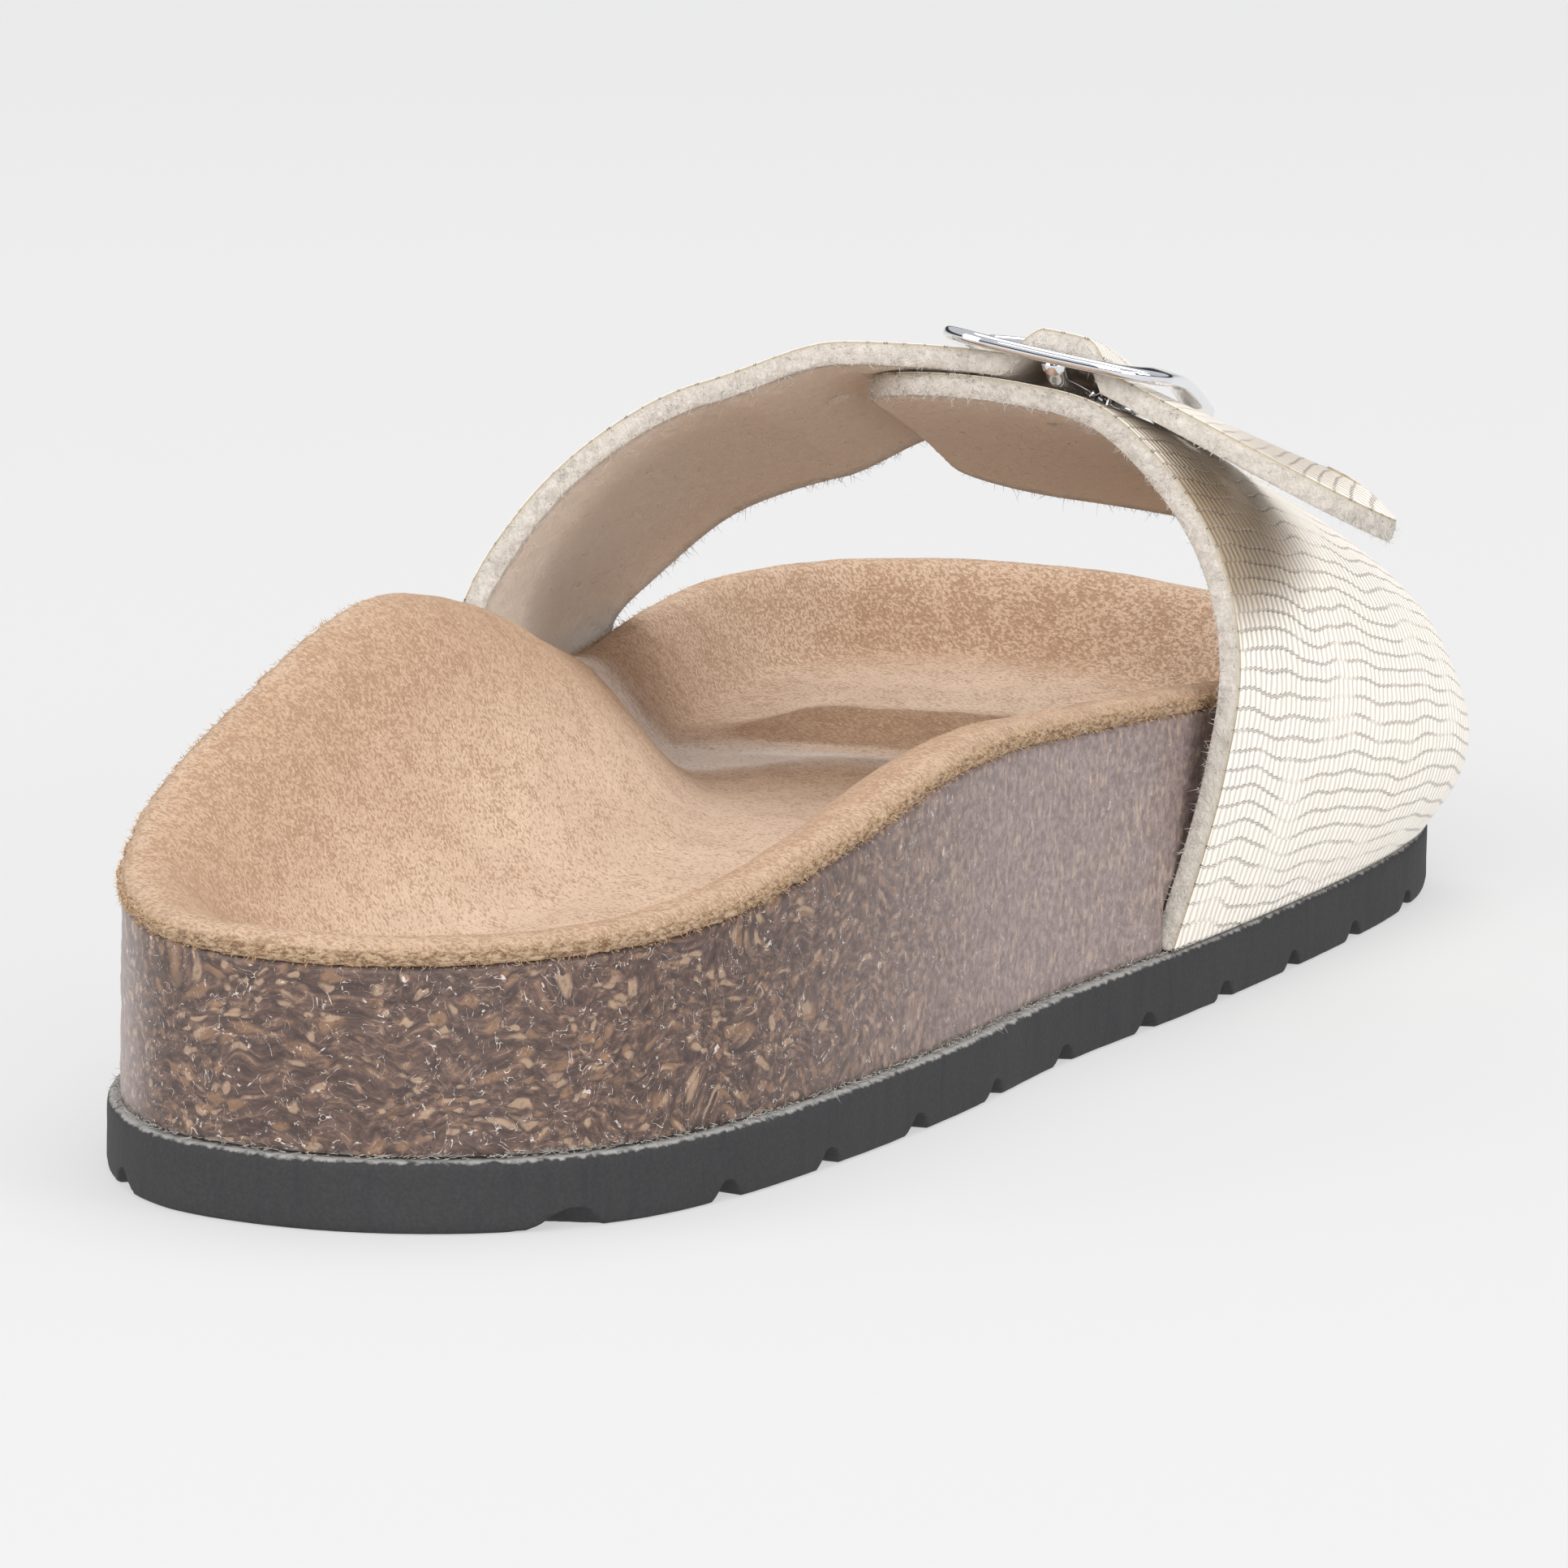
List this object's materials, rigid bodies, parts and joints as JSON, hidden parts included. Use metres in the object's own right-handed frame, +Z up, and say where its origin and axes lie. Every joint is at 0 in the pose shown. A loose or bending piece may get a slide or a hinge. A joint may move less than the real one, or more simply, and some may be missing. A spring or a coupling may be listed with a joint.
{
  "type": "cork footbed sandal, right",
  "caption": "Right slip-on sandal with a shaped cork footbed lined in tan suede, a dark lugged outsole and one wide cream buckled strap.",
  "frame": {"origin": "middle of the sandal's bounding box on the ground plane under the outsole", "axes": "+Y from heel to toe, +X to the outer side of the foot, +Z up"},
  "size_m": [0.1082, 0.2562, 0.0676],
  "materials": {
    "outsole_foam": "matte charcoal moulded foam rubber",
    "cork": "sanded dark cork granulate with a thin clear sealer",
    "suede": "tan suede with a short nap",
    "strap_cream": "pearl cream embossed face on a felt lining",
    "buckle_metal": "polished"
  },
  "bodies": {
    "root": {"outsole": "outsole_foam", "cork_footbed": "cork", "suede_lining": "suede", "strap_inner_half": "strap_cream", "strap_outer_half": "strap_cream", "buckle_frame": "buckle_metal", "buckle_prong": "buckle_metal"}
  },
  "joints": []
}
